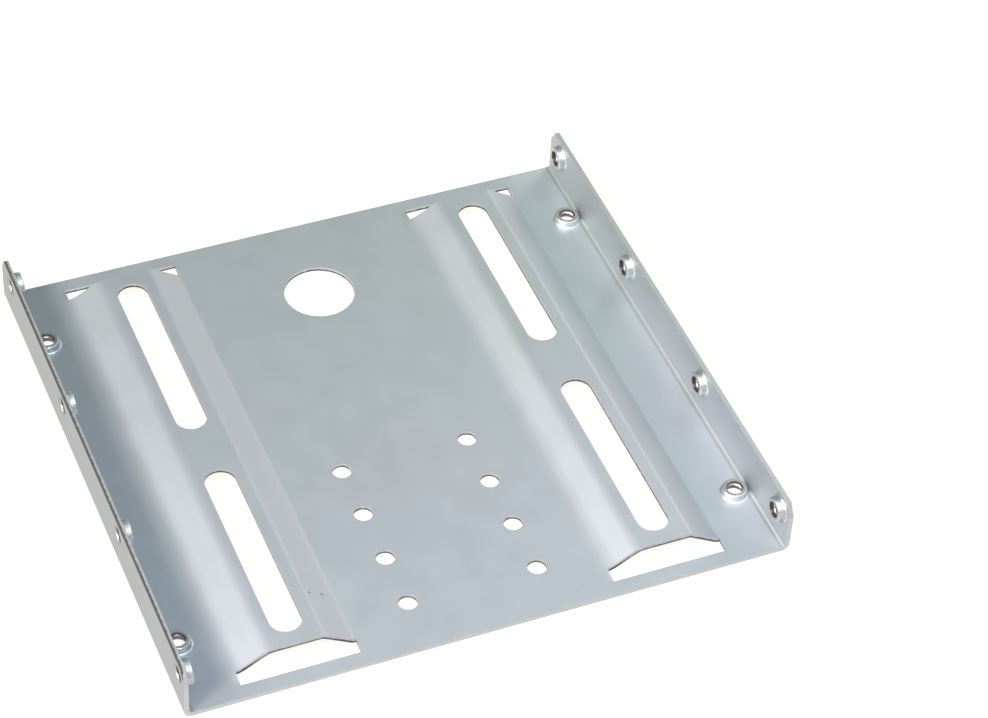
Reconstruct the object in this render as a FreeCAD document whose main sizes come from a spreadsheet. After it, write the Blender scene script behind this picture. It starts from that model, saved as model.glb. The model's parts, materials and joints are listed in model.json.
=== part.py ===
"""Drive bay adapter bracket: a folded and formed sheet-steel tray.

One blank of sheet is punched, two long ribs are raised in it as bridges that
are open at both ends, the threaded holes are burred up into collars, and the
two side flanges are folded up. The tray is one piece of metal, so it is one
solid.

Frame: millimetres, +Z up. The origin is on the underside of the base, in the
middle of the tray. X runs across the tray, Y from the near edge to the far
edge, and Z up the flanges.
"""

import FreeCAD, Part
import math
import os

import Sketcher

doc = FreeCAD.newDocument("drive_bay_bracket")
sheet = doc.addObject("Spreadsheet::Sheet", "Sizes")

# Every size that can be set by itself, in millimetres, and the counts.
SIZES = {
    # The folded blank and the cut corners of its flanges
    "tray_width": 102.0,
    "tray_length": 97.8,
    "flange_height": 9.8,
    "thickness": 0.8,
    "bend_radius": 0.5,
    "corner_run": 1.4,
    "corner_drop": 2.2,
    # The two raised ribs, and the strip and gap that close them off at each end
    "rib_spacing": 62.4,
    "rib_width": 19.8,
    "rib_crown": 8.4,
    "rib_rise": 3.1,
    "rib_foot_radius": 0.8,
    "rib_knee_radius": 0.8,
    "end_strip": 2.5,
    "end_gap": 2.7,
    # The long holes in the crowns, for the screws of the small drive
    "slot_width": 5.3,
    "slot_bridge": 9.8,
    "slot_to_rib_end": 2.5,
    # The plain holes of the middle strip
    "round_hole": 12.2,
    "round_hole_to_far_edge": 17.1,
    "small_hole": 3.2,
    "small_hole_rows": 22.0,
    "small_hole_to_near_edge": 9.6,
    "small_hole_pitch": 10.0,
    "small_hole_count": 4,
    # The burred collars, which carry the threads
    "thread_bore": 2.8,
    "collar_wall": 0.65,
    "collar_taper": 0.1,
    "collar_root": 0.35,
    "collar_lip": 0.2,
    "mouth_round": 0.5,
    "base_collar": 1.2,
    "base_holes_across": 95.25,
    "base_hole_to_near_edge": 13.6,
    "base_hole_to_far_edge": 14.2,
    "side_collar": 1.3,
    "side_hole_height": 7.0,
    "side_hole_to_near_edge": 3.0,
    "side_hole_to_far_edge": 4.8,
    "side_hole_count": 4,
}

# The lengths that follow from those, as formulas in the same sheet.
FORMULAS = {
    "rib_length": "=tray_length - 2 * (end_strip + end_gap)",
    "slot_length": "=(rib_length - slot_bridge) / 2 - slot_to_rib_end",
    "slot_pitch": "=slot_length + slot_bridge",
    "base_hole_pitch": "=tray_length - base_hole_to_near_edge - base_hole_to_far_edge",
    "side_hole_run": "=tray_length - side_hole_to_near_edge - side_hole_to_far_edge",
    "side_hole_pitch": "=side_hole_run / (side_hole_count - 1)",
}

for row, (alias, value) in enumerate({**SIZES, **FORMULAS}.items(), start=1):
    sheet.set(f"A{row}", alias)
    sheet.set(f"B{row}", str(value))
    sheet.setAlias(f"B{row}", alias)
doc.recompute()


def size(alias):
    """The number that the sheet holds under this name."""
    return float(sheet.get(alias))


body = doc.addObject("PartDesign::Body", "bracket")
body.Label = "bracket"
body.Placement = FreeCAD.Placement()


def own(role):
    """One of the body's own origin planes or axes."""
    return next(item for item in body.Origin.OriginFeatures if item.Role == role)


def sketch_on(role, name, shift=None, turn=0):
    """A sketch on an origin plane, turned and shifted in that plane's axes."""
    sketch = body.newObject("Sketcher::SketchObject", name)
    sketch.AttachmentSupport = [(own(role), "")]
    sketch.MapMode = "FlatFace"
    turning = FreeCAD.Rotation(FreeCAD.Vector(0, 0, 1), turn)
    sketch.AttachmentOffset = FreeCAD.Placement(FreeCAD.Vector(), turning)
    for axis, formula in (shift or {}).items():
        sketch.setExpression(f"AttachmentOffset.Base.{axis}", formula)
    return sketch


START, END, CENTRE = 1, 2, 3
ACROSS, UPRIGHT = -1, -2


def line(sketch, start, end):
    first = FreeCAD.Vector(start[0], start[1], 0)
    last = FreeCAD.Vector(end[0], end[1], 0)
    return sketch.addGeometry(Part.LineSegment(first, last), False)


def arc(sketch, centre, radius, first, last):
    """An arc that runs anticlockwise from one angle to the other, in degrees."""
    middle = FreeCAD.Vector(centre[0], centre[1], 0)
    circle = Part.Circle(middle, FreeCAD.Vector(0, 0, 1), radius)
    angles = math.radians(first), math.radians(last)
    return sketch.addGeometry(Part.ArcOfCircle(circle, *angles), False)


def rule(sketch, kind, *places):
    """A constraint without a size, such as Tangent or Vertical."""
    sketch.addConstraint(Sketcher.Constraint(kind, *places))


def bind(sketch, kind, *places, to):
    """A dimension that follows the sheet."""
    now = float(sketch.evalExpression(to))
    here = sketch.addConstraint(Sketcher.Constraint(kind, *places, now))
    sketch.setExpression(f"Constraints[{here}]", to)


def join(sketch, kind, *pairs):
    """Joins curve ends two by two: each pair is curve, end, curve, end."""
    for pair in pairs:
        rule(sketch, kind, *pair)


def settle(feature, grows):
    """Recomputes, and makes sure that a feature added or took away metal."""
    before = body.Shape.Volume if body.Shape and not body.Shape.isNull() else 0.0
    body.Tip = feature
    doc.recompute()
    change = body.Shape.Volume - before
    print(f"{feature.Name:16s} {change:+10.2f} mm3")
    if change == 0 or (change > 0) != grows:
        raise RuntimeError(f"{feature.Name} changed the volume the wrong way")


def pad(sketch, name, length, reverse=True):
    feature = body.newObject("PartDesign::Pad", name)
    feature.Profile = sketch
    feature.Reversed = reverse
    feature.setExpression("Length", length)
    sketch.Visibility = False
    settle(feature, grows=True)
    return feature


def cut_through(sketch, name):
    """Cuts a sketch out of everything on both sides of its plane."""
    feature = body.newObject("PartDesign::Pocket", name)
    feature.Profile = sketch
    feature.Type = "ThroughAll"
    feature.Midplane = True
    settle(feature, grows=False)
    return feature


def row_along(name, count, pitch):
    """A row along the tray's length, by how many and how far apart."""
    pattern = doc.addObject("PartDesign::LinearPattern", name + "Row")
    pattern.Direction = (own("Y_Axis"), [""])
    pattern.setExpression("Occurrences", count)
    pattern.setExpression("Length", f"({count} - 1) * {pitch}")
    return pattern


def mirror_across(name):
    """The other side of the tray, mirrored in its middle plane."""
    mirror = doc.addObject("PartDesign::Mirrored", name + "Mirror")
    mirror.MirrorPlane = (own("YZ_Plane"), [""])
    return mirror


def repeat(features, name, steps, grows):
    """Repeats features by a list of steps, such as a row and a mirror."""
    feature = body.newObject("PartDesign::MultiTransform", name)
    feature.Originals = features
    feature.Transformations = steps
    settle(feature, grows)
    return feature


def fold_tray():
    """The folded section, a wide channel with rounded bends, along the tray."""
    half = size("tray_width") / 2
    top = size("flange_height")
    skin = size("thickness")
    inner = size("bend_radius")
    outer = inner + skin
    sketch = sketch_on("XZ_Plane", "TraySection", {"z": "Sizes.tray_length / 2"})
    left = line(sketch, (-half, top), (-half, outer))
    left_bend = arc(sketch, (outer - half, outer), outer, 180, 270)
    under = line(sketch, (outer - half, 0), (half - outer, 0))
    right_bend = arc(sketch, (half - outer, outer), outer, 270, 360)
    right = line(sketch, (half, outer), (half, top))
    right_lip = line(sketch, (half, top), (half - skin, top))
    right_in = line(sketch, (half - skin, top), (half - skin, outer))
    right_crease = arc(sketch, (half - outer, outer), inner, 270, 360)
    floor = line(sketch, (half - outer, skin), (outer - half, skin))
    left_crease = arc(sketch, (outer - half, outer), inner, 180, 270)
    left_in = line(sketch, (skin - half, outer), (skin - half, top))
    left_lip = line(sketch, (skin - half, top), (-half, top))
    join(
        sketch, "Tangent",
        (left, END, left_bend, START), (left_bend, END, under, START),
        (under, END, right_bend, START), (right_bend, END, right, START),
        (right_in, END, right_crease, END), (right_crease, START, floor, START),
        (floor, END, left_crease, END), (left_crease, START, left_in, START),
    )
    join(
        sketch, "Coincident",
        (right, END, right_lip, START), (right_lip, END, right_in, START),
        (left_in, END, left_lip, START), (left_lip, END, left, START),
        (left_bend, CENTRE, left_crease, CENTRE),
        (right_bend, CENTRE, right_crease, CENTRE),
    )
    for upright in (left, right, left_in, right_in):
        rule(sketch, "Vertical", upright)
    for level in (under, floor, left_lip, right_lip):
        rule(sketch, "Horizontal", level)
    rule(sketch, "PointOnObject", under, START, ACROSS)
    rule(sketch, "Symmetric", left, START, right, END, UPRIGHT)
    rule(sketch, "Equal", left_crease, right_crease)
    bind(sketch, "DistanceX", left, START, right, END, to="Sizes.tray_width")
    bind(sketch, "DistanceY", ACROSS, START, left, START, to="Sizes.flange_height")
    bind(sketch, "DistanceX", left, START, left_in, END, to="Sizes.thickness")
    bind(sketch, "Radius", left_crease, to="Sizes.bend_radius")
    pad(sketch, "FoldedTray", "Sizes.tray_length")


def cut_corners():
    """The slanting cuts at both ends of the flanges' top edges."""
    end = size("tray_length") / 2
    top = size("flange_height")
    run = size("corner_run")
    drop = size("corner_drop")
    sketch = sketch_on("YZ_Plane", "CornerCuts")
    for side, reach in ((-1, "-Sizes.tray_length / 2"), (1, "Sizes.tray_length / 2")):
        upright = line(sketch, (side * end, top - drop), (side * end, top))
        level = line(sketch, (side * end, top), (side * (end - run), top))
        slant = line(sketch, (side * (end - run), top), (side * end, top - drop))
        join(
            sketch, "Coincident",
            (upright, END, level, START), (level, END, slant, START),
            (slant, END, upright, START),
        )
        rule(sketch, "Vertical", upright)
        rule(sketch, "Horizontal", level)
        bind(sketch, "DistanceX", ACROSS, START, upright, END, to=reach)
        bind(sketch, "DistanceY", ACROSS, START, upright, END, to="Sizes.flange_height")
        bind(sketch, "DistanceY", upright, START, upright, END, to="Sizes.corner_drop")
        ends = (level, END, level, START) if side > 0 else (level, START, level, END)
        bind(sketch, "DistanceX", *ends, to="Sizes.corner_run")
    cut_through(sketch, "CornerPocket")


def open_rib_windows():
    """The openings that the ribs are raised in, a strip short of both edges."""
    half = size("rib_width") / 2
    end = size("tray_length") / 2 - size("end_strip")
    sketch = sketch_on("XY_Plane", "RibWindow", {"x": "Sizes.rib_spacing / 2"})
    near = line(sketch, (-half, -end), (half, -end))
    right = line(sketch, (half, -end), (half, end))
    far = line(sketch, (half, end), (-half, end))
    left = line(sketch, (-half, end), (-half, -end))
    join(
        sketch, "Coincident",
        (near, END, right, START), (right, END, far, START),
        (far, END, left, START), (left, END, near, START),
    )
    for level in (near, far):
        rule(sketch, "Horizontal", level)
    for upright in (left, right):
        rule(sketch, "Vertical", upright)
    rule(sketch, "Symmetric", near, START, far, START, ACROSS, START)
    bind(sketch, "DistanceX", near, START, near, END, to="Sizes.rib_width")
    bind(
        sketch, "DistanceY", right, START, right, END,
        to="Sizes.tray_length - 2 * Sizes.end_strip",
    )
    window = cut_through(sketch, "RibWindowCut")
    repeat([window], "RibWindows", [mirror_across("RibWindows")], grows=False)


def raise_ribs():
    """One rib as a formed section: foot bends, slopes, knee bends and crown.
    The upper and lower skins share the centres of their bends, so the sheet
    keeps its thickness all the way round."""
    foot = size("rib_width") / 2
    knee = size("rib_crown") / 2
    skin = size("thickness")
    rise = size("rib_rise")
    low = size("rib_foot_radius")
    high = size("rib_knee_radius")
    foot_up = skin + low
    knee_up = rise - high
    reach = math.hypot(foot - knee, knee_up - foot_up)
    slope = math.degrees(
        math.atan2(knee_up - foot_up, foot - knee)
        + math.asin((low + high + skin) / reach)
    )

    def around(side, up, radius, bend):
        """One bend of the section: its centre, radius and side."""
        if bend == "foot":
            first, last = (270, 270 + slope) if side < 0 else (270 - slope, 270)
            return arc(sketch, (side * foot, up), radius, first, last)
        first, last = (90, 90 + slope) if side < 0 else (90 - slope, 90)
        return arc(sketch, (side * knee, up), radius, first, last)

    def tip(curve, place):
        here = sketch.getPoint(curve, place)
        return here.x, here.y

    place = {"x": "Sizes.rib_spacing / 2", "z": "Sizes.rib_length / 2"}
    sketch = sketch_on("XZ_Plane", "RibSection", place)
    skins = []
    for foot_radius, knee_radius in ((low, high + skin), (low + skin, high)):
        left_foot = around(-1, foot_up, foot_radius, "foot")
        left_knee = around(-1, knee_up, knee_radius, "knee")
        right_knee = around(1, knee_up, knee_radius, "knee")
        right_foot = around(1, foot_up, foot_radius, "foot")
        left_slope = line(sketch, tip(left_foot, END), tip(left_knee, END))
        crown = line(sketch, tip(left_knee, START), tip(right_knee, END))
        right_slope = line(sketch, tip(right_knee, START), tip(right_foot, START))
        join(
            sketch, "Tangent",
            (left_foot, END, left_slope, START), (left_slope, END, left_knee, END),
            (left_knee, START, crown, START), (crown, END, right_knee, END),
            (right_knee, START, right_slope, START),
            (right_slope, END, right_foot, START),
        )
        rule(sketch, "Horizontal", crown)
        skins.append((left_foot, left_knee, crown, right_knee, right_foot))
    upper, lower = skins
    left_end = line(sketch, tip(lower[0], START), tip(upper[0], START))
    right_end = line(sketch, tip(upper[4], END), tip(lower[4], END))
    join(
        sketch, "Coincident",
        (left_end, START, lower[0], START), (left_end, END, upper[0], START),
        (right_end, START, upper[4], END), (right_end, END, lower[4], END),
        *((upper[bend], CENTRE, lower[bend], CENTRE) for bend in (0, 1, 3, 4)),
    )
    rule(sketch, "Vertical", left_end)
    rule(sketch, "Vertical", right_end)
    rule(sketch, "Vertical", upper[0], CENTRE, upper[0], START)
    rule(sketch, "Vertical", upper[4], CENTRE, upper[4], END)
    rule(sketch, "Symmetric", upper[0], CENTRE, upper[4], CENTRE, UPRIGHT)
    rule(sketch, "Symmetric", upper[1], CENTRE, upper[3], CENTRE, UPRIGHT)
    rule(sketch, "Equal", upper[0], upper[4])
    rule(sketch, "Equal", lower[0], lower[4])
    rule(sketch, "PointOnObject", left_end, START, ACROSS)
    bind(sketch, "DistanceX", left_end, START, right_end, END, to="Sizes.rib_width")
    bind(sketch, "DistanceX", upper[2], START, upper[2], END, to="Sizes.rib_crown")
    bind(sketch, "DistanceY", left_end, START, left_end, END, to="Sizes.thickness")
    bind(sketch, "DistanceY", ACROSS, START, lower[2], START, to="Sizes.rib_rise")
    bind(sketch, "DistanceY", lower[2], START, upper[2], START, to="Sizes.thickness")
    bind(sketch, "Radius", upper[0], to="Sizes.rib_foot_radius")
    bind(sketch, "Radius", lower[1], to="Sizes.rib_knee_radius")
    rib = pad(sketch, "RaisedRib", "Sizes.rib_length")
    repeat([rib], "RaisedRibs", [mirror_across("RaisedRibs")], grows=True)


def cut_slots():
    """The long round-ended holes, two in each crown, one behind the other."""
    radius = size("slot_width") / 2
    straight = (size("slot_length") - size("slot_width")) / 2
    sketch = sketch_on(
        "XY_Plane", "Slot",
        {"x": "Sizes.rib_spacing / 2", "y": "-Sizes.slot_pitch / 2"},
    )
    far = arc(sketch, (0, straight), radius, 0, 180)
    left = line(sketch, (-radius, straight), (-radius, -straight))
    near = arc(sketch, (0, -straight), radius, 180, 360)
    right = line(sketch, (radius, -straight), (radius, straight))
    join(
        sketch, "Tangent",
        (far, END, left, START), (left, END, near, START),
        (near, END, right, START), (right, END, far, START),
    )
    rule(sketch, "Vertical", left)
    rule(sketch, "PointOnObject", far, CENTRE, UPRIGHT)
    rule(sketch, "Symmetric", far, CENTRE, near, CENTRE, ACROSS, START)
    bind(sketch, "Radius", far, to="Sizes.slot_width / 2")
    bind(
        sketch, "DistanceY", near, CENTRE, far, CENTRE,
        to="Sizes.slot_length - Sizes.slot_width",
    )
    slot = cut_through(sketch, "CrownSlot")
    steps = [row_along("Slots", "2", "Sizes.slot_pitch"), mirror_across("Slots")]
    repeat([slot], "CrownSlots", steps, grows=False)


def round_cut(name, diameter, shift):
    """One plain round hole through the base."""
    sketch = sketch_on("XY_Plane", name + "Sketch", shift)
    circle = Part.Circle(FreeCAD.Vector(), FreeCAD.Vector(0, 0, 1), size(diameter) / 2)
    edge = sketch.addGeometry(circle, False)
    rule(sketch, "Coincident", edge, CENTRE, ACROSS, START)
    bind(sketch, "Diameter", edge, to=f"Sizes.{diameter}")
    return cut_through(sketch, name)


def punch_base():
    """The big round hole, and the two rows of small ones, on the middle strip."""
    far_place = {"y": "Sizes.tray_length / 2 - Sizes.round_hole_to_far_edge"}
    round_cut("RoundHole", "round_hole", far_place)
    near_place = {
        "x": "Sizes.small_hole_rows / 2",
        "y": "Sizes.small_hole_to_near_edge - Sizes.tray_length / 2",
    }
    hole = round_cut("SmallHole", "small_hole", near_place)
    row = row_along("SmallHoles", "Sizes.small_hole_count", "Sizes.small_hole_pitch")
    repeat([hole], "SmallHoles", [row, mirror_across("SmallHoles")], grows=False)


def burr(name, collar, shift, turn=0):
    """A burred hole. The sheet's outer face is on the sketch's ACROSS axis and
    the hole's axis is its UPRIGHT axis, towards the collar's tip. The metal is
    drawn through the sheet, so the mouth is rounded and the collar leaves the
    sheet in a small curve, then tapers to a softened lip."""
    skin = size("thickness")
    bore = size("thread_bore") / 2
    tip = bore + size("collar_wall")
    neck = tip + size("collar_taper")
    root = size("collar_root")
    lip = size("collar_lip")
    height = skin + size(collar)
    mouth = size("mouth_round")
    tall = f"(Sizes.thickness + Sizes.{collar})"

    sketch = sketch_on("XZ_Plane", name + "Collar", shift, turn)
    middle = line(sketch, (0, height), (0, skin / 2))
    seat = line(sketch, (0, skin / 2), (neck + root, skin / 2))
    side = line(sketch, (neck + root, skin / 2), (neck + root, skin))
    curve = arc(sketch, (neck + root, skin + root), root, 180, 270)
    wall = line(sketch, (neck, skin + root), (tip, height - lip))
    lip_curve = arc(sketch, (tip - lip, height - lip), lip, 0, 90)
    top = line(sketch, (tip - lip, height), (0, height))
    join(
        sketch, "Coincident",
        (middle, END, seat, START), (seat, END, side, START),
        (side, END, curve, END), (curve, START, wall, START),
        (wall, END, lip_curve, START), (lip_curve, END, top, START),
        (top, END, middle, START),
    )
    for upright in (middle, side):
        rule(sketch, "Vertical", upright)
    for level in (seat, top):
        rule(sketch, "Horizontal", level)
    rule(sketch, "PointOnObject", middle, START, UPRIGHT)
    rule(sketch, "Horizontal", curve, CENTRE, curve, START)
    rule(sketch, "Vertical", curve, CENTRE, curve, END)
    rule(sketch, "Horizontal", lip_curve, CENTRE, lip_curve, START)
    rule(sketch, "Vertical", lip_curve, CENTRE, lip_curve, END)
    bind(sketch, "DistanceY", ACROSS, START, seat, START, to="Sizes.thickness / 2")
    bind(sketch, "DistanceY", ACROSS, START, side, END, to="Sizes.thickness")
    bind(sketch, "DistanceY", ACROSS, START, top, END, to=tall)
    bind(
        sketch, "DistanceX", ACROSS, START, wall, END,
        to="Sizes.thread_bore / 2 + Sizes.collar_wall",
    )
    bind(
        sketch, "DistanceX", ACROSS, START, wall, START,
        to="Sizes.thread_bore / 2 + Sizes.collar_wall + Sizes.collar_taper",
    )
    bind(sketch, "Radius", curve, to="Sizes.collar_root")
    bind(sketch, "Radius", lip_curve, to="Sizes.collar_lip")
    boss = body.newObject("PartDesign::Revolution", name + "Boss")
    boss.Profile = sketch
    boss.ReferenceAxis = (sketch, ["V_Axis"])
    boss.Angle = 360
    settle(boss, grows=True)

    sketch = sketch_on("XZ_Plane", name + "Bore", shift, turn)
    middle = line(sketch, (0, height + lip), (0, -mouth))
    below = line(sketch, (0, -mouth), (bore + mouth, -mouth))
    side = line(sketch, (bore + mouth, -mouth), (bore + mouth, 0))
    curve = arc(sketch, (bore + mouth, mouth), mouth, 180, 270)
    wall = line(sketch, (bore, mouth), (bore, height + lip))
    above = line(sketch, (bore, height + lip), (0, height + lip))
    join(
        sketch, "Coincident",
        (middle, END, below, START), (below, END, side, START),
        (side, END, curve, END), (wall, END, above, START),
        (above, END, middle, START),
    )
    rule(sketch, "Tangent", curve, START, wall, START)
    for upright in (middle, side, wall):
        rule(sketch, "Vertical", upright)
    for level in (below, above):
        rule(sketch, "Horizontal", level)
    rule(sketch, "PointOnObject", middle, START, UPRIGHT)
    rule(sketch, "PointOnObject", side, END, ACROSS)
    rule(sketch, "Vertical", curve, CENTRE, curve, END)
    bind(sketch, "DistanceX", ACROSS, START, wall, END, to="Sizes.thread_bore / 2")
    bind(sketch, "Radius", curve, to="Sizes.mouth_round")
    bind(sketch, "DistanceY", below, START, ACROSS, START, to="Sizes.mouth_round")
    bind(sketch, "DistanceY", ACROSS, START, above, END, to=f"{tall} + Sizes.collar_lip")
    bore_cut = body.newObject("PartDesign::Groove", name + "Thread")
    bore_cut.Profile = sketch
    bore_cut.ReferenceAxis = (sketch, ["V_Axis"])
    bore_cut.Angle = 360
    settle(bore_cut, grows=False)
    return [boss, bore_cut]


def burr_base():
    """Four collars that stand up from the base, a pair beside each flange."""
    place = {
        "x": "Sizes.base_holes_across / 2",
        "z": "Sizes.tray_length / 2 - Sizes.base_hole_to_near_edge",
    }
    first = burr("BaseHole", "base_collar", place)
    row = row_along("BaseHoles", "2", "Sizes.base_hole_pitch")
    repeat(first, "BaseHoles", [row, mirror_across("BaseHoles")], grows=True)


def burr_sides():
    """A row of collars in each flange, which point in over the base."""
    place = {
        "x": "Sizes.tray_width / 2",
        "y": "Sizes.side_hole_height",
        "z": "Sizes.tray_length / 2 - Sizes.side_hole_to_near_edge",
    }
    first = burr("SideHole", "side_collar", place, turn=90)
    row = row_along("SideHoles", "Sizes.side_hole_count", "Sizes.side_hole_pitch")
    repeat(first, "SideHoles", [row, mirror_across("SideHoles")], grows=True)


def check_document():
    """Stops on any failed feature, or a body that is not one valid solid."""
    for item in doc.Objects:
        if "Invalid" in item.State or "Error" in item.State:
            raise RuntimeError(f"{item.Name} failed: {item.State}")
    shape = body.Shape
    if shape.isNull() or not shape.isValid() or len(shape.Solids) != 1:
        raise RuntimeError("the bracket is not one valid solid")


fold_tray()
cut_corners()
open_rib_windows()
raise_ribs()
cut_slots()
punch_base()
burr_base()
burr_sides()
check_document()

os.makedirs("parts", exist_ok=True)
body.Shape.exportStep(f"parts/{body.Label}.step")
box = body.Shape.optimalBoundingBox(False, False)
print(f"volume {body.Shape.Volume:.1f} mm3, faces {len(body.Shape.Faces)}")
print(f"across {box.XLength:.2f} mm, along {box.YLength:.2f} mm, up {box.ZLength:.2f} mm")
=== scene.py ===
# %% [markdown]
# # A drive bay adapter bracket
# The real object is one piece of thin zinc-plated steel. A press punches its
# holes, raises two long ribs, draws small collars out of the sheet for the
# threads, and folds up two flanges. Every form and size comes from the packed
# CAD part. This lesson gives that part the look of the photograph: rolled
# edges, cut threads, a satin plated finish, and the light of a white studio.

# %% Load the frame
import json
import math

import bmesh
import bpy
from mathutils import Matrix, Vector
from mathutils.bvhtree import BVHTree


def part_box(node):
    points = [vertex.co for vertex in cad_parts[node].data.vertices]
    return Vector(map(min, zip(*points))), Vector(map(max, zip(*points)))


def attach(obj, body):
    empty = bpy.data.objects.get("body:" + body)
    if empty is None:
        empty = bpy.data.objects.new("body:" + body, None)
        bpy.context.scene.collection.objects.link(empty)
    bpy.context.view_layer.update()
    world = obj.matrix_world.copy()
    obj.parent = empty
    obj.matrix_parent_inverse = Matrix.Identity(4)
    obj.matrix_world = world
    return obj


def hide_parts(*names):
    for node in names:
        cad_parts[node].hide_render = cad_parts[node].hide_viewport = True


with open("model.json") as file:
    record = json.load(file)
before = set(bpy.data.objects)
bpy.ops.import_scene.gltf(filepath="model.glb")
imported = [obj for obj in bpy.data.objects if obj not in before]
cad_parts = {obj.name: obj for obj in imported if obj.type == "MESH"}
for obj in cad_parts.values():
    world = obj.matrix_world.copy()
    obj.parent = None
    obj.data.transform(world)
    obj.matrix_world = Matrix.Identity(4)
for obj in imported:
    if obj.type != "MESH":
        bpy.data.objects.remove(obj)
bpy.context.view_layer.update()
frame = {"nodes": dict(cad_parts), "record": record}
bracket = frame["nodes"]["bracket"]
MM = 0.001
low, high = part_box("bracket")
print("bracket, mm:", [round(side / MM, 2) for side in high - low])

# %% [markdown]
# ## The camera
# The photographer stood in front of the bracket, a little to its left, and
# looked down on it. A long lens keeps the two sides almost parallel. The
# camera was also turned slightly on its own axis, so the picture is tilted.
# A camera that circles a target takes exactly these numbers: how far round,
# how high, how far away, and the roll.

# %% Camera
PHOTO_WIDTH = 988
FOCAL_PIXELS = 3251.2
SENSOR = 36.0
AZIMUTH = math.radians(-24.76)
ELEVATION = math.radians(44.60)
ROLL = math.radians(3.75)
DISTANCE = 551.4 * MM
TARGET = Vector((22.56, 7.21, 0)) * MM

lens = bpy.data.cameras.new("camera")
lens.sensor_fit = "HORIZONTAL"
lens.sensor_width = SENSOR
lens.lens = SENSOR * FOCAL_PIXELS / PHOTO_WIDTH
lens.clip_start = 0.01
lens.clip_end = 20
camera = bpy.data.objects.new("camera", lens)
bpy.context.scene.collection.objects.link(camera)
turn = Matrix.Rotation(AZIMUTH, 4, "Z") @ Matrix.Rotation(math.pi / 2 - ELEVATION, 4, "X")
turn = turn @ Matrix.Rotation(ROLL, 4, "Z")
back = turn.to_3x3() @ Vector((0, 0, 1))
camera.matrix_world = Matrix.Translation(TARGET + DISTANCE * back) @ turn
bpy.context.scene.camera = camera
bpy.context.scene.view_settings.view_transform = "Standard"
print("camera, mm:", [round(place / MM) for place in camera.location], "lens", round(lens.lens, 1))

# %% [markdown]
# ## The floor
# The bracket lies on a cream white sheet that is lit from within, as on a
# light table: in the photograph it is pure white even in the slots, with no
# shadow. One large plane is enough. Its paper scatters some of the light that
# falls on it and glows by itself.

# %% Floor
FLOOR_HALF = 2.5
CREAM_GLOW = (0.93, 0.87, 0.81)
shape = bmesh.new()
bmesh.ops.create_grid(shape, x_segments=1, y_segments=1, size=FLOOR_HALF)
floor_mesh = bpy.data.meshes.new("floor")
shape.to_mesh(floor_mesh)
shape.free()
floor = bpy.data.objects.new("floor", floor_mesh)
bpy.context.scene.collection.objects.link(floor)
paper = bpy.data.materials.new("paper")
paper.use_nodes = True
paper_shader = paper.node_tree.nodes["Principled BSDF"]
paper_shader.inputs["Base Color"].default_value = (0.1, 0.1, 0.1, 1)
paper_shader.inputs["Roughness"].default_value = 0.9
paper_shader.inputs["Emission Color"].default_value = (*CREAM_GLOW, 1)
paper_shader.inputs["Emission Strength"].default_value = 1.0
floor.data.materials.append(paper)
print("floor", round(2 * FLOOR_HALF, 1), "m across")

# %% [markdown]
# ## The light
# A satin metal shows what it faces, so the light is built as soft panels. Most
# of it comes from the left. A small key stands there too, because the photograph
# shows soft light spots that fall through the threaded holes of the left flange.
# Each panel is placed on a dome round the bracket: its bearing, clockwise from
# straight behind the bracket, its height above the floor, and its distance. Its
# size and its watts per colour follow.

# %% Lights
def panel(name, bearing, height, distance, size, power):
    """A square soft panel on the dome, facing the bracket, with watts per colour."""
    round_, up = math.radians(bearing), math.radians(height)
    at = Vector((math.sin(round_) * math.cos(up), math.cos(round_) * math.cos(up), math.sin(up)))
    light = bpy.data.lights.new(name, "AREA")
    light.shape = "SQUARE"
    light.size = size * MM
    light.energy = max(power)
    light.color = [part / max(power) for part in power]
    lamp = bpy.data.objects.new(name, light)
    lamp.location = at * distance * MM
    lamp.rotation_euler = at.to_track_quat("Z", "Y").to_euler()
    bpy.context.scene.collection.objects.link(lamp)
    return lamp


panel("key", 269, 45, 679, 160, (3.2, 3.2, 3.2))
panel("left_panel", 240, 45, 1428, 400, (32.5, 29.4, 23.8))
panel("near_panel", 180, 60, 700, 350, (5.1, 6.0, 6.8))
panel("far_panel", 60, 30, 2200, 1000, (14.6, 12.1, 11.2))
panel("right_panel", 60, 45, 700, 350, (0.11, 0.38, 0.31))

ROOM_LIGHT = 0.2
world = bpy.data.worlds.new("studio")
world.use_nodes = True
world.node_tree.nodes["Background"].inputs["Color"].default_value = (1, 1, 1, 1)
world.node_tree.nodes["Background"].inputs["Strength"].default_value = ROOM_LIGHT
bpy.context.scene.world = world

# %% [markdown]
# ## The sheet
# A press leaves no knife edges: the punch rolls the rim of each cut over a
# little. The CAD mesh is exact but sharp, and its triangles are loose. It
# could be shaded with a bevel trick, but real roundings catch the light from
# every side. So the first step is a welded copy.

# %% Weld a copy
WELD = 0.001 * MM
shape = bmesh.new()
shape.from_mesh(bracket.data)
bmesh.ops.remove_doubles(shape, verts=shape.verts, dist=WELD)
print("welded corners", len(shape.verts))

# %% [markdown]
# ## Soft bends
# In the photograph the left flank of each rib has no crisp bends: its light
# rises and falls over several millimetres, so the die that pressed it had large
# roundings there. The right flanks are crisp. The CAD part has the same small
# bends everywhere. The difference in height is at most 0.3 mm, so the flank
# is cut into narrow strips, and each strip is lifted or lowered to the softer
# curve. The numbers of the CAD section come first, as distances from the
# rib's middle.

# %% Section of a rib
RIB_AT = 31.2
RIB_END = 43.7
RIB_RISE = 3.1
FOOT, KNEE = 9.9, 4.2
FOOT_RADIUS, KNEE_RADIUS = 0.8, 1.6
LEAN = math.radians(31.7)
HALF_TURN = math.tan(LEAN / 2)
FOOT_CORNER = FOOT - FOOT_RADIUS * HALF_TURN
KNEE_CORNER = KNEE + KNEE_RADIUS * HALF_TURN


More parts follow.
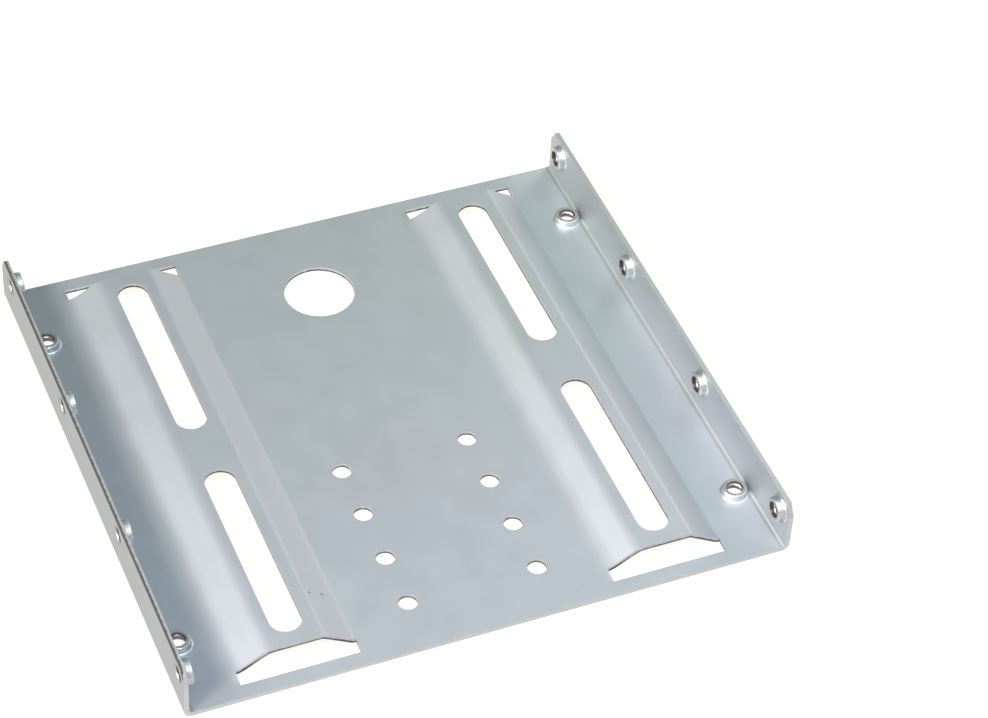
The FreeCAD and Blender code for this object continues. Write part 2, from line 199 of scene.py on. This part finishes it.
def height(out, foot_radius, knee_radius):
    """Height of a flank over the base, out millimetres from the rib's middle."""
    foot_end = FOOT_CORNER + foot_radius * HALF_TURN
    knee_end = KNEE_CORNER - knee_radius * HALF_TURN
    if out >= foot_end:
        return 0.0
    if out <= knee_end:
        return RIB_RISE
    if out >= foot_end - foot_radius * math.sin(LEAN):
        return foot_radius - math.sqrt(foot_radius**2 - (foot_end - out)**2)
    if out <= knee_end + knee_radius * math.sin(LEAN):
        return RIB_RISE - knee_radius + math.sqrt(knee_radius**2 - (out - knee_end)**2)
    return (FOOT_CORNER - out) * math.tan(LEAN)


print("section, mm:", [round(height(out, FOOT_RADIUS, KNEE_RADIUS), 2) for out in (10, 8, 6, 4)])

# %% [markdown]
# Where the rib is cut off at its two ends, the softer foot reaches past the
# window into the flat end strip, and there it fades away. Each soft flank is
# given by its rib, its side, and the radii of its foot and its knee. A cut
# touches only the faces near the flank, so the rest of the sheet stays whole.

# %% Tools for the flanks
FADE = 3.0
FADE_CUTS = 7
STRIPS = 24
MARGIN = 0.1
OVER_RIBS = 4.0
ON_PLANE = 0.0005 * MM
SOFT_FLANKS = (
    (-RIB_AT, -1, 7.7, 5.1),
    (-RIB_AT, 1, 2.2, 2.6),
    (RIB_AT, -1, 7.7, 5.1),
)


def faces_near(middle, side, narrowest, widest):
    """The sheet's faces that reach into one flank of a rib."""
    found = []
    for face in shape.faces:
        reach = [side * (vert.co.x / MM - middle) for vert in face.verts]
        low_enough = face.calc_center_bounds().z / MM < OVER_RIBS
        if low_enough and max(reach) > narrowest - MARGIN and min(reach) < widest + MARGIN:
            found.append(face)
    return found


def cut(faces, across, along, direction):
    """Cuts faces by a plane through a point, in millimetres."""
    geometry = set(faces)
    for face in faces:
        geometry.update(face.verts, face.edges)
    bmesh.ops.bisect_plane(
        shape, geom=list(geometry), dist=ON_PLANE,
        plane_co=Vector((across, along, 0)) * MM, plane_no=direction,
    )


print("soft flanks", len(SOFT_FLANKS))

# %% [markdown]
# First come the cuts, along the flank and across its two fading ends. Then each
# corner moves by the difference between the soft curve and the old one. In the
# end, cuts through what is still flat are dissolved again.

# %% Soften the flanks
NEARLY_FLAT = math.radians(0.3)
for middle, side, foot_radius, knee_radius in SOFT_FLANKS:
    widest = FOOT_CORNER + foot_radius * HALF_TURN
    narrowest = KNEE_CORNER - knee_radius * HALF_TURN
    flank = (middle, side, narrowest, widest)
    for index in range(STRIPS + 1):
        out = narrowest + (widest - narrowest) * index / STRIPS
        cut(faces_near(*flank), middle + side * out, 0, (1, 0, 0))
    for end in (-1, 1):
        for index in range(FADE_CUTS):
            along = end * (RIB_END + FADE * index / (FADE_CUTS - 1))
            cut(faces_near(*flank), 0, along, (0, 1, 0))
    for vertex in shape.verts:
        out = side * (vertex.co.x / MM - middle)
        beyond = abs(vertex.co.y / MM) - RIB_END
        if narrowest < out < widest and vertex.co.z < OVER_RIBS * MM and beyond < FADE:
            soft = height(out, foot_radius, knee_radius)
            fade = 1.0 if beyond <= 0 else (1 + math.cos(math.pi * beyond / FADE)) / 2
            lift = (soft - height(out, FOOT_RADIUS, KNEE_RADIUS)) * fade * MM
            vertex.co.z = max(0.0, vertex.co.z + lift)
bmesh.ops.dissolve_limit(shape, angle_limit=NEARLY_FLAT, verts=shape.verts, edges=shape.edges)
print("faces with soft bends", len(shape.faces))

# %% [markdown]
# ## Which faces are plated skin, and which are cuts
# The sheet was plated after it was punched, but a cut edge still looks unlike
# the skin: bright where the punch rubbed it, dark and torn where it broke.
# The faces between two sharp edges belong together, so a walk that never
# steps over a sharp edge finds the whole upper skin from one face of it, and
# the whole lower skin from another. All that is left are the cuts.

# %% Sort the faces
SHARP = math.radians(40)
SKIN, CUT = 0, 1


def walk(start):
    """All faces that smooth edges join to one face."""
    found = {start}
    waiting = [start]
    while waiting:
        face = waiting.pop()
        for edge in face.edges:
            if edge.calc_face_angle(0) > SHARP:
                continue
            for other in edge.link_faces:
                if other not in found:
                    found.add(other)
                    waiting.append(other)
    return found


level = [face for face in shape.faces if abs(face.normal.z) > 0.999]
upper = walk(max((face for face in level if face.normal.z > 0), key=lambda face: face.calc_area()))
lower = walk(max((face for face in level if face.normal.z < 0), key=lambda face: face.calc_area()))
for face in shape.faces:
    face.smooth = True
    face.material_index = SKIN if face in upper or face in lower else CUT
print("upper, lower, cut:", len(upper), len(lower), len(shape.faces) - len(upper) - len(lower))

# %% [markdown]
# Two kinds of skin faces get a finish of their own. The insides of the threaded
# bores have had a tap through them. They lie as far from a bore's axis as its
# radius. The collars' outsides have been rubbed bright by the tool that drew
# them out. They are close to an axis and above the sheet. The places and axes
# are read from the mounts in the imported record, where pos_m is the middle of a
# row of holes.

# %% Find the bores and collars
BORE, DRAWN = 2, 3
COLLAR_REACH = 2.6 * MM
SHEET = 0.8 * MM
BASE_COLLAR = 1.2 * MM
SIDE_COLLAR = 1.3 * MM
ON_BORE = 0.04 * MM
OVER_SHEET, OVER_LIP = 1.02, 1.05
mounts = {mount["name"]: mount for mount in frame["record"]["mounts"]}
bores = []
base = mounts["base_holes"]
for right in (-1, 1):
    for far in (-1, 1):
        across = right * base["dims"]["spacing_x_mm"] * MM / 2
        along = far * base["dims"]["spacing_y_mm"] * MM / 2
        mouth = Vector(base["pos_m"]) + Vector((across, along, 0))
        bores.append((mouth, Vector((0, 0, 1)), base["dims"]["hole_r_mm"] * MM, SHEET + BASE_COLLAR))
for name in ("left_outer", "left_inner", "right_outer", "right_inner"):
    row = mounts["side_holes_" + name]
    for far in (-1, 1):
        mouth = Vector(row["pos_m"]) + Vector((0, far * row["dims"]["spacing_x_mm"] * MM / 2, 0))
        bores.append((mouth, -Vector(row["axis"]), row["dims"]["hole_r_mm"] * MM, SHEET + SIDE_COLLAR))
print("bores", len(bores))

# %% [markdown]
# A face belongs to a bore when its middle lies on the bore's wall, and to a
# collar when its middle is close to the axis, over the sheet and not far past
# the collar's lip.

# %% Mark the bores and collars
def finish_near_bores(face, skin):
    """The finish of a skin face: bore, drawn collar, or as it was."""
    for mouth, axis, radius, length in bores:
        way = face.calc_center_median() - mouth
        up = way.dot(axis)
        out = (way - up * axis).length
        if 0 <= up <= length and abs(out - radius) < ON_BORE:
            return BORE
        if SHEET * OVER_SHEET < up < length * OVER_LIP and out < COLLAR_REACH:
            return DRAWN
    return skin


for face in upper | lower:
    face.material_index = finish_near_bores(face, SKIN)
print("bore faces", sum(face.material_index == BORE for face in shape.faces))
print("collar faces", sum(face.material_index == DRAWN for face in shape.faces))

# %% [markdown]
# ## Rolled edges
# Every sharp edge gets a narrow rounding. Before that, search trees of the skins
# and the cuts are kept. They tell a point's depth in the sheet: 0 on the lower
# skin and 1 on the upper one.

# %% Search trees
def skin_tree(faces):
    """A search tree that finds the nearest point on some faces, cut into triangles."""
    corners = [vertex.co.copy() for vertex in shape.verts]
    triangles = [
        [loop.vert.index for loop in triangle]
        for triangle in shape.calc_loop_triangles() if triangle[0].face in faces
    ]
    return BVHTree.FromPolygons(corners, triangles, all_triangles=True)


def depth_of(point):
    """How high a point is in the sheet: 0 on the lower skin, 1 on the upper one."""
    below = lower_tree.find_nearest(point)[3]
    above = upper_tree.find_nearest(point)[3]
    return below / (below + above)


shape.verts.index_update()
cuts = {face for face in shape.faces if face.material_index == CUT}
upper_tree, lower_tree, cut_tree = skin_tree(upper), skin_tree(lower), skin_tree(cuts)
print("faces in the trees", len(upper), len(lower), len(cuts))

# %% [markdown]
# After the bevel, the trees also tell which faces are roundings: the narrow ones
# whose middles lie off all the old surfaces. The width is asked first, because
# the middle of a large face can lie off its surface too, in one of its holes.
# The rounding on the upper side is rubbed bright, partly as a painted highlight, and gets a finish of
# its own.

# %% Roll the edges
ROLLED_EDGE = 0.16 * MM
RUBBED_HIGHLIGHT = 4
OFF_SURFACE = 0.002 * MM
rims = [edge for edge in shape.edges if edge.calc_face_angle(0) > SHARP]
bmesh.ops.bevel(
    shape, geom=rims, offset=ROLLED_EDGE, offset_type="OFFSET", affect="EDGES",
    segments=3, profile=0.5, material=-1, clamp_overlap=True,
)
rubbed_highlight_faces = 0
for face in shape.faces:
    face.smooth = True
    if 2 * face.calc_area() / face.calc_perimeter() > ROLLED_EDGE:
        continue
    centre = face.calc_center_median()
    off = min(tree.find_nearest(centre)[3] for tree in (upper_tree, lower_tree, cut_tree))
    if off > OFF_SURFACE:
        face.material_index = RUBBED_HIGHLIGHT if depth_of(centre) > 0.5 else CUT
        rubbed_highlight_faces += face.material_index == RUBBED_HIGHLIGHT
for edge in shape.edges:
    edge.smooth = True
print("rims", len(rims), "faces", len(shape.faces), "rubbed", rubbed_highlight_faces)
for index in (SKIN, CUT, BORE, DRAWN, RUBBED_HIGHLIGHT):
    area = sum(face.calc_area() for face in shape.faces if face.material_index == index)
    print("finish", index, "mm2:", round(area / MM**2))

# %% [markdown]
# A cut edge tears off in its lower part. How much of it depends on how closely
# the punch fits its die. The photograph shows a broad torn band on the top edge
# of the left flange, a medium one round the windows and slots, and none on the
# other outlines. Both numbers, the depth and the torn share, are kept with
# each vertex.

# %% Note depth and torn share
TORN_LEFT_FLANGE, TORN_INSIDE, TORN_OUTLINE = 0.55, 0.45, -0.2
OUTER_X, OUTER_Y, FLANGE_TOP = 50.1, 48.6, 9.0
depth = shape.verts.layers.float.new("depth")
torn_share = shape.verts.layers.float.new("torn_share")
for vertex in shape.verts:
    vertex[depth] = depth_of(vertex.co)
    across, along, up = vertex.co / MM
    if across < -OUTER_X and up > FLANGE_TOP:
        vertex[torn_share] = TORN_LEFT_FLANGE
    elif abs(across) > OUTER_X or abs(along) > OUTER_Y:
        vertex[torn_share] = TORN_OUTLINE
    else:
        vertex[torn_share] = TORN_INSIDE
print("torn shares", sorted({round(vertex[torn_share], 2) for vertex in shape.verts}))

# %% [markdown]
# The mesh is done and becomes a piece, which takes the place of the CAD one.

# %% The sheet as a piece
def piece_from(shape, name, *materials):
    """A mesh that is done becomes a piece that rides on the bracket's body."""
    mesh = bpy.data.meshes.new(name)
    shape.to_mesh(mesh)
    shape.free()
    piece = bpy.data.objects.new(name, mesh)
    bpy.context.scene.collection.objects.link(piece)
    for material in materials:
        mesh.materials.append(material)
    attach(piece, "root")
    print(name, "faces", len(mesh.polygons))
    return piece


sheet = piece_from(shape, "pressed_sheet")
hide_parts("bracket")
weighted = sheet.modifiers.new("weighted_normals", "WEIGHTED_NORMAL")
weighted.keep_sharp = True
weighted.weight = 50

# %% [markdown]
# ## The threads
# Twelve of the holes are threaded. A tap has cut the thread in each: a ridge
# that climbs round the bore like a staircase. It could be a texture, but a real
# ridge has a real shadow. The ridge is a small triangle, spun about the bore's
# axis while it climbs, and the spin operator does just that. The crest, which
# the tap leaves bare, is marked for the finish.

# %% Threads
PITCH = 0.79 * MM
RIDGE_HEIGHT = 0.2 * MM
RIDGE_FOOT = 0.5 * MM
ROOT_COVER = 0.03 * MM
STEPS_PER_TURN = 40
FIRST_RIDGE = 0.5 * MM
LIP = 0.12 * MM

threads = bmesh.new()
crest = threads.verts.layers.float.new("crest")


def cut_thread(mouth, axis, radius, length):
    """A thread ridge inside a bore: it starts past the mouth, ends before the lip."""
    climb = length - LIP - RIDGE_FOOT - FIRST_RIDGE
    turns = climb / PITCH
    steps = round(turns * STEPS_PER_TURN)
    outer = radius + ROOT_COVER
    corners = ((outer, 0, 0), (radius - RIDGE_HEIGHT, RIDGE_FOOT / 2, 1), (outer, RIDGE_FOOT, 0))
    before = len(threads.verts)
    verts = []
    for side, up, bare in corners:
        vertex = threads.verts.new((side, 0, FIRST_RIDGE + up))
        vertex[crest] = bare
        verts.append(vertex)
    bmesh.ops.spin(
        threads, geom=[threads.faces.new(verts)], cent=(0, 0, 0), axis=(0, 0, 1),
        dvec=(0, 0, climb / steps), angle=2 * math.pi * turns, steps=steps, use_merge=False,
    )
    stand = axis.to_track_quat("Z", "Y").to_matrix().to_4x4()
    bmesh.ops.transform(
        threads, matrix=Matrix.Translation(mouth) @ stand, verts=list(threads.verts)[before:],
    )


for bore in bores:
    cut_thread(*bore)
for face in threads.faces:
    face.smooth = False
bmesh.ops.recalc_face_normals(threads, faces=threads.faces)
thread_turns = piece_from(threads, "thread_turns")

# %% [markdown]
# ## Shader maths
# A finish that varies over the metal is a sum of patterns. Such sums could be
# wired by hand, node by node, but they read better as expressions. So a small
# class wraps an output socket, and its plus, minus and times add Math nodes.
# Every other node comes from one method, which takes the node's type, its
# settings, and the values or links of its sockets.

# %% Sockets that can be added
class Value:
    """An output socket that can stand in a sum."""

    def __init__(self, finish, socket):
        self.finish = finish
        self.socket = socket

    def sum(self, operation, first, second):
        return self.finish.node("ShaderNodeMath", {"operation": operation}, {0: first, 1: second})

    def __add__(self, other):
        return self.sum("ADD", self, other)

    __radd__ = __add__

    def __sub__(self, other):
        return self.sum("SUBTRACT", self, other)

    def __rsub__(self, other):
        return self.sum("SUBTRACT", other, self)

    def __mul__(self, other):
        return self.sum("MULTIPLY", self, other)

    __rmul__ = __mul__


# %% One material
class Finish:
    """A material, with the one way in which nodes are added to it."""

    def __init__(self, name, **constants):
        self.material = bpy.data.materials.new(name)
        self.material.use_nodes = True
        self.tree = self.material.node_tree
        self.shader = self.tree.nodes["Principled BSDF"]
        for socket, number in constants.items():
            self.shader.inputs[socket].default_value = number

    def node(self, kind, settings=None, inputs=None, output=0):
        """Adds a node, sets it, feeds its sockets, and returns one of its outputs."""
        made = self.tree.nodes.new(kind)
        for setting, choice in (settings or {}).items():
            setattr(made, setting, choice)
        for socket, source in (inputs or {}).items():
            self.link(source, made.inputs[socket])
        return Value(self, made.outputs[output])

    def link(self, source, socket):
        if isinstance(source, Value):
            self.tree.links.new(source.socket, socket)
        else:
            socket.default_value = source

    def feed(self, **sources):
        """Feeds the shader's own sockets; an underscore stands for a space."""
        for name, source in sources.items():
            self.link(source, self.shader.inputs[name.replace("_", " ")])


# %% [markdown]
# Three patterns come up again and again: clouds of a given size in millimetres,
# a soft step from 0 to 1, and a blend of two colours.

# %% Patterns
def clouds(finish, place, size, detail=2.0, roughness=0.5):
    """Cloudy noise, about 0 to 1, whose patches are about size millimetres wide."""
    return finish.node(
        "ShaderNodeTexNoise", {"noise_dimensions": "3D"},
        {"Vector": place, "Scale": 1 / (size * MM), "Detail": detail, "Roughness": roughness},
    )


def step(finish, source, low, high):
    """0 below low, 1 above high, and a smooth rise between them."""
    return finish.node(
        "ShaderNodeMapRange", {"interpolation_type": "SMOOTHSTEP"},
        {"Value": source, "From Min": low, "From Max": high},
    )


def blend(finish, share, first, second):
    """A colour between two colours."""
    return finish.node(
        "ShaderNodeMix", {"data_type": "RGBA"}, {0: share, 6: first, 7: second}, output=2,
    )


# %% [markdown]
# ## The zinc finish
# Zinc plating on rolled steel is a satin metal, grey with a little blue. Up
# close it isn't one grey. The bath leaves broad, faint clouds, greener at the far
# end and more lilac at the near one, and the plating is made of fine crystals.
# Light and shade are painted into it too: it is painted a little brighter towards
# the right and a little darker towards the far end, and painted brighter still on
# the narrow strip beside the right fold, where the right flange throws light back.
# It is painted darker on the flanges, most of all on their outer faces, and in
# the creases: painted shade. It is also a little less blue towards the right.
# All these shares were set so that the picture meets the photograph.

# %% Where a point lies
HALF_WIDTH = 50
OUTSIDE, WALL, CREASE, STRIP_FROM = 50.9, 50.05, 49.75, 39
OUTSIDE_SOFT, WALL_SOFT, CREASE_REACH, STRIP_SOFT = 0.05, 0.1, 0.6, 5
CREASE_TOP, STRIP_TOP = (1.3, 1.8), (0.9, 1.5)


def places(finish):
    """The object coordinates of a finish, and their three parts in millimetres."""
    place = finish.node("ShaderNodeTexCoord", output="Object")
    parts = finish.node("ShaderNodeVectorMath", {"operation": "SCALE"}, {0: place, "Scale": 1 / MM})
    sides = [finish.node("ShaderNodeSeparateXYZ", inputs={0: parts}, output=axis) for axis in "XYZ"]
    return place, sides


def near(finish, source, value, reach):
    """1 at a value, and a smooth fall to 0 at its reach on both sides."""
    away = finish.node("ShaderNodeMath", {"operation": "ABSOLUTE"}, {0: source - value})
    return 1.0 - step(finish, away, 0.0, reach)


# %% [markdown]
# Two tiny specks of dirt sit on the right flank of the left rib. Two faint dark
# spots, as wide as a fingertip, are painted beside the fold of the right flange:
# painted dark reflections of that flange's collars.

# %% Specks and painted reflections
SPECKS = ((-25.7, -34.3, 3.25), (-23.6, -34.3, 2.0))
SPECK = 0.35
COLLAR_REFLECTION_SPOTS = ((47.0, 13.5), (46.9, -17.8))
REFLECTION_SPOT_SIZE = 4.5


def speck(finish, place, centre):
    """1 in a tiny round speck on the metal, and 0 outside it."""
    middle = tuple(part * MM for part in centre)
    away = finish.node("ShaderNodeVectorMath", {"operation": "DISTANCE"}, {0: place, 1: middle}, 1)
    return 1.0 - step(finish, away, 0.4 * SPECK * MM, SPECK * MM)


def painted_reflection_spot(finish, across, along, centre):
    """1 in the middle of a painted dark reflection spot, fading to 0 at its rim."""
    return near(finish, across, centre[0], REFLECTION_SPOT_SIZE) * near(finish, along, centre[1], REFLECTION_SPOT_SIZE)


# %% Zinc
CLOUD, PATCH, GRAIN = 38, 6, 0.35
BRIGHTNESS, PAINTED_LIGHT_RIGHT, PAINTED_SHADE_FAR = 0.985, 0.0010, 0.0003
LESS_BLUE_RIGHT, GREENER_FAR = 0.0003, 0.006
PATCH_SHARE, GRAIN_SHARE = 0.04, 0.06
ROUGHNESS, UNEVEN, ROUGHER_OUTSIDE = 0.6, 0.05, 0.04
PAINTED_SHADE_WALL, PAINTED_SHADE_OUTSIDE, PAINTED_SHADE_CREASE, PAINTED_LIGHT_STRIP = 0.05, 0.13, 0.25, 0.12
DARK_SPECK, DARK_REFLECTION_SPOT = 0.6, 0.05
GREENISH, LILAC = (0.415, 0.453, 0.481, 1), (0.424, 0.445, 0.497, 1)
zinc = Finish("zinc", Metallic=1.0)
place, (across, along, up) = places(zinc)
width = zinc.node("ShaderNodeMath", {"operation": "ABSOLUTE"}, {0: across})
wall = step(zinc, width, WALL - WALL_SOFT, WALL + WALL_SOFT)
outside = step(zinc, width, OUTSIDE - OUTSIDE_SOFT, OUTSIDE + OUTSIDE_SOFT)
# The creases get painted shade.
crease = near(zinc, width, CREASE, CREASE_REACH) * (1.0 - step(zinc, up, *CREASE_TOP))
# The strip beside the right fold gets painted light, standing in for light thrown back by the flange.
strip = step(zinc, across, STRIP_FROM, STRIP_FROM + STRIP_SOFT)
strip = strip * (1.0 - step(zinc, up, *STRIP_TOP))
broad = clouds(zinc, place, CLOUD)
patch = clouds(zinc, place, PATCH)
grain = clouds(zinc, place, GRAIN, detail=3.0, roughness=0.6)
lilac = step(zinc, broad - along * GREENER_FAR, 0.3, 0.7)
plated = blend(zinc, lilac, GREENISH, LILAC)
# Painted light and shade: brighter towards the right, darker towards the far end.
bright = BRIGHTNESS + across * PAINTED_LIGHT_RIGHT - along * PAINTED_SHADE_FAR
bright = bright + (patch - 0.5) * PATCH_SHARE + (grain - 0.5) * GRAIN_SHARE
# Painted shade: darker on the flanges, more on their outer faces, and in the creases.
bright = bright * (1.0 - wall * PAINTED_SHADE_WALL - outside * PAINTED_SHADE_OUTSIDE) * (1.0 - crease * PAINTED_SHADE_CREASE)
bright = bright * (1.0 + strip * PAINTED_LIGHT_STRIP)
specks = sum(speck(zinc, place, centre) for centre in SPECKS)
# These spots darken the metal: painted dark reflections of the right flange's collars.
painted_reflection_spots = sum(painted_reflection_spot(zinc, across, along, centre) for centre in COLLAR_REFLECTION_SPOTS)
bright = bright * (1.0 - specks * DARK_SPECK) * (1.0 - painted_reflection_spots * DARK_REFLECTION_SPOT)
blue = bright - (across + HALF_WIDTH) * LESS_BLUE_RIGHT
shade = zinc.node("ShaderNodeCombineColor", inputs={0: bright, 1: bright, 2: blue})
colour = zinc.node(
    "ShaderNodeMix", {"data_type": "RGBA", "blend_type": "MULTIPLY"},
    {0: 1.0, 6: plated, 7: shade}, output=2,
)
relief = zinc.node(
    "ShaderNodeBump", inputs={"Height": grain, "Strength": 0.05, "Distance": 0.02 * MM},
)
uneven = (patch - 0.5) * UNEVEN + (grain - 0.5) * UNEVEN
zinc.feed(
    Base_Color=colour, Normal=relief,
    Roughness=uneven + outside * ROUGHER_OUTSIDE + ROUGHNESS,
)
print("zinc nodes", len(zinc.tree.nodes))

# %% [markdown]
# ## Rubbed metal
# Where a tool has rubbed the plating, it is brighter and smoother: on the rolled
# edges, and on the collars that were drawn through a die. On the rolled edges the
# brighter colour is partly a painted highlight. The rubbing leaves fine, uneven
# scuffs.

# %% Rubbed rims and drawn collars
SCUFF, SCUFF_DEPTH = 0.6, 0.02 * MM


def rubbed_metal(name, dark, light, roughness):
    """Bright metal whose scuffs lie between two colours."""
    finish = Finish(name, Metallic=1.0)
    place = finish.node("ShaderNodeTexCoord", output="Object")
    scuffs = clouds(finish, place, SCUFF, detail=4.0, roughness=0.65)
    shown = step(finish, scuffs, 0.3, 0.7)
    relief = finish.node(
        "ShaderNodeBump", inputs={"Height": scuffs, "Strength": 0.08, "Distance": SCUFF_DEPTH},
    )
    finish.feed(
        Base_Color=blend(finish, shown, dark, light), Normal=relief,
        Roughness=roughness + (0.5 - scuffs) * 0.15,
    )
    return finish.material


# The rims' brighter colours are partly wear and partly a painted highlight.
rubbed_highlight_rim = rubbed_metal("rubbed_highlight_rim", (0.48, 0.52, 0.54, 1), (0.58, 0.62, 0.64, 1), 0.5)
drawn_collar = rubbed_metal("drawn_collar", (0.38, 0.40, 0.41, 1), (0.52, 0.54, 0.54, 1), 0.5)

# %% [markdown]
# ## The cut edges
# Where a punch goes through sheet metal, it first shears it and leaves a smooth,
# burnished band. Then the rest tears off, and that part is rough and dark. The
# noted depth tells how far down the sheet a point lies. A little noise makes the
# border between the two bands as ragged as a real one.

# %% Cut edge
RAGGED, BORDER = 0.5, 0.08
TORN_DARK, TORN_LIGHT = (0.06, 0.055, 0.05, 1), (0.18, 0.165, 0.15, 1)
SHEARED_DARK, SHEARED_LIGHT = (0.44, 0.46, 0.47, 1), (0.52, 0.54, 0.55, 1)
cut_edge = Finish("cut_edge", Metallic=1.0)
place = cut_edge.node("ShaderNodeTexCoord", output="Object")
deep = cut_edge.node("ShaderNodeAttribute", {"attribute_name": "depth"}, output="Fac")
share = cut_edge.node("ShaderNodeAttribute", {"attribute_name": "torn_share"}, output="Fac")
ragged = clouds(cut_edge, place, 0.7, detail=3.0)
whole = step(cut_edge, deep + (ragged - 0.5) * RAGGED, share - BORDER, share + BORDER)
torn_grain = clouds(cut_edge, place, 0.12, detail=3.0)
torn = blend(cut_edge, torn_grain, TORN_DARK, TORN_LIGHT)
sheared = blend(cut_edge, ragged, SHEARED_DARK, SHEARED_LIGHT)
tears = cut_edge.node(
    "ShaderNodeBump",
    inputs={"Height": torn_grain * (1.0 - whole), "Strength": 0.4, "Distance": 0.05 * MM},
)
cut_edge.feed(
    Base_Color=blend(cut_edge, whole, torn, sheared), Normal=tears,
    Roughness=0.75 - whole * 0.2,
)
print("cut edge nodes", len(cut_edge.tree.nodes))

# %% [markdown]
# ## The threads' metal
# A tap cuts the threads. The grooves are painted nearly black, a painted shade
# inside the bores, while the crests are bare and bright. The walls of the bores,
# seen between the ridges, get the same painted shade as the grooves.

# %% Bores and threads
# The groove colours are painted shade inside the bores.
SHADED_GROOVE_DARK, SHADED_GROOVE_LIGHT = (0.08, 0.07, 0.07, 1), (0.26, 0.22, 0.22, 1)
CREST_DARK, CREST_LIGHT = (0.34, 0.30, 0.30, 1), (0.55, 0.52, 0.51, 1)
CHATTER, BARE_FROM, BARE_FULL = 0.4, 0.35, 0.75


def tapped_metal(name, bare):
    """Metal that a tap has cut; bare names a layer from 0, groove, to 1, crest."""
    finish = Finish(name, Metallic=1.0)
    place = finish.node("ShaderNodeTexCoord", output="Object")
    chatter = clouds(finish, place, CHATTER, detail=3.0)
    groove = blend(finish, chatter, SHADED_GROOVE_DARK, SHADED_GROOVE_LIGHT)
    if bare:
        worn = finish.node("ShaderNodeAttribute", {"attribute_name": bare}, output="Fac")
        shown = step(finish, worn + (chatter - 0.5) * 0.3, BARE_FROM, BARE_FULL)
        groove = blend(finish, shown, groove, blend(finish, chatter, CREST_DARK, CREST_LIGHT))
    finish.feed(Base_Color=groove, Roughness=chatter * 0.2 + 0.3)
    return finish.material


bore_wall = tapped_metal("bore_wall", None)
thread_metal = tapped_metal("thread", "crest")
for material in (zinc.material, cut_edge.material, bore_wall, drawn_collar, rubbed_highlight_rim):
    sheet.data.materials.append(material)
thread_turns.data.materials.append(thread_metal)
print("materials", [material.name for material in sheet.data.materials])
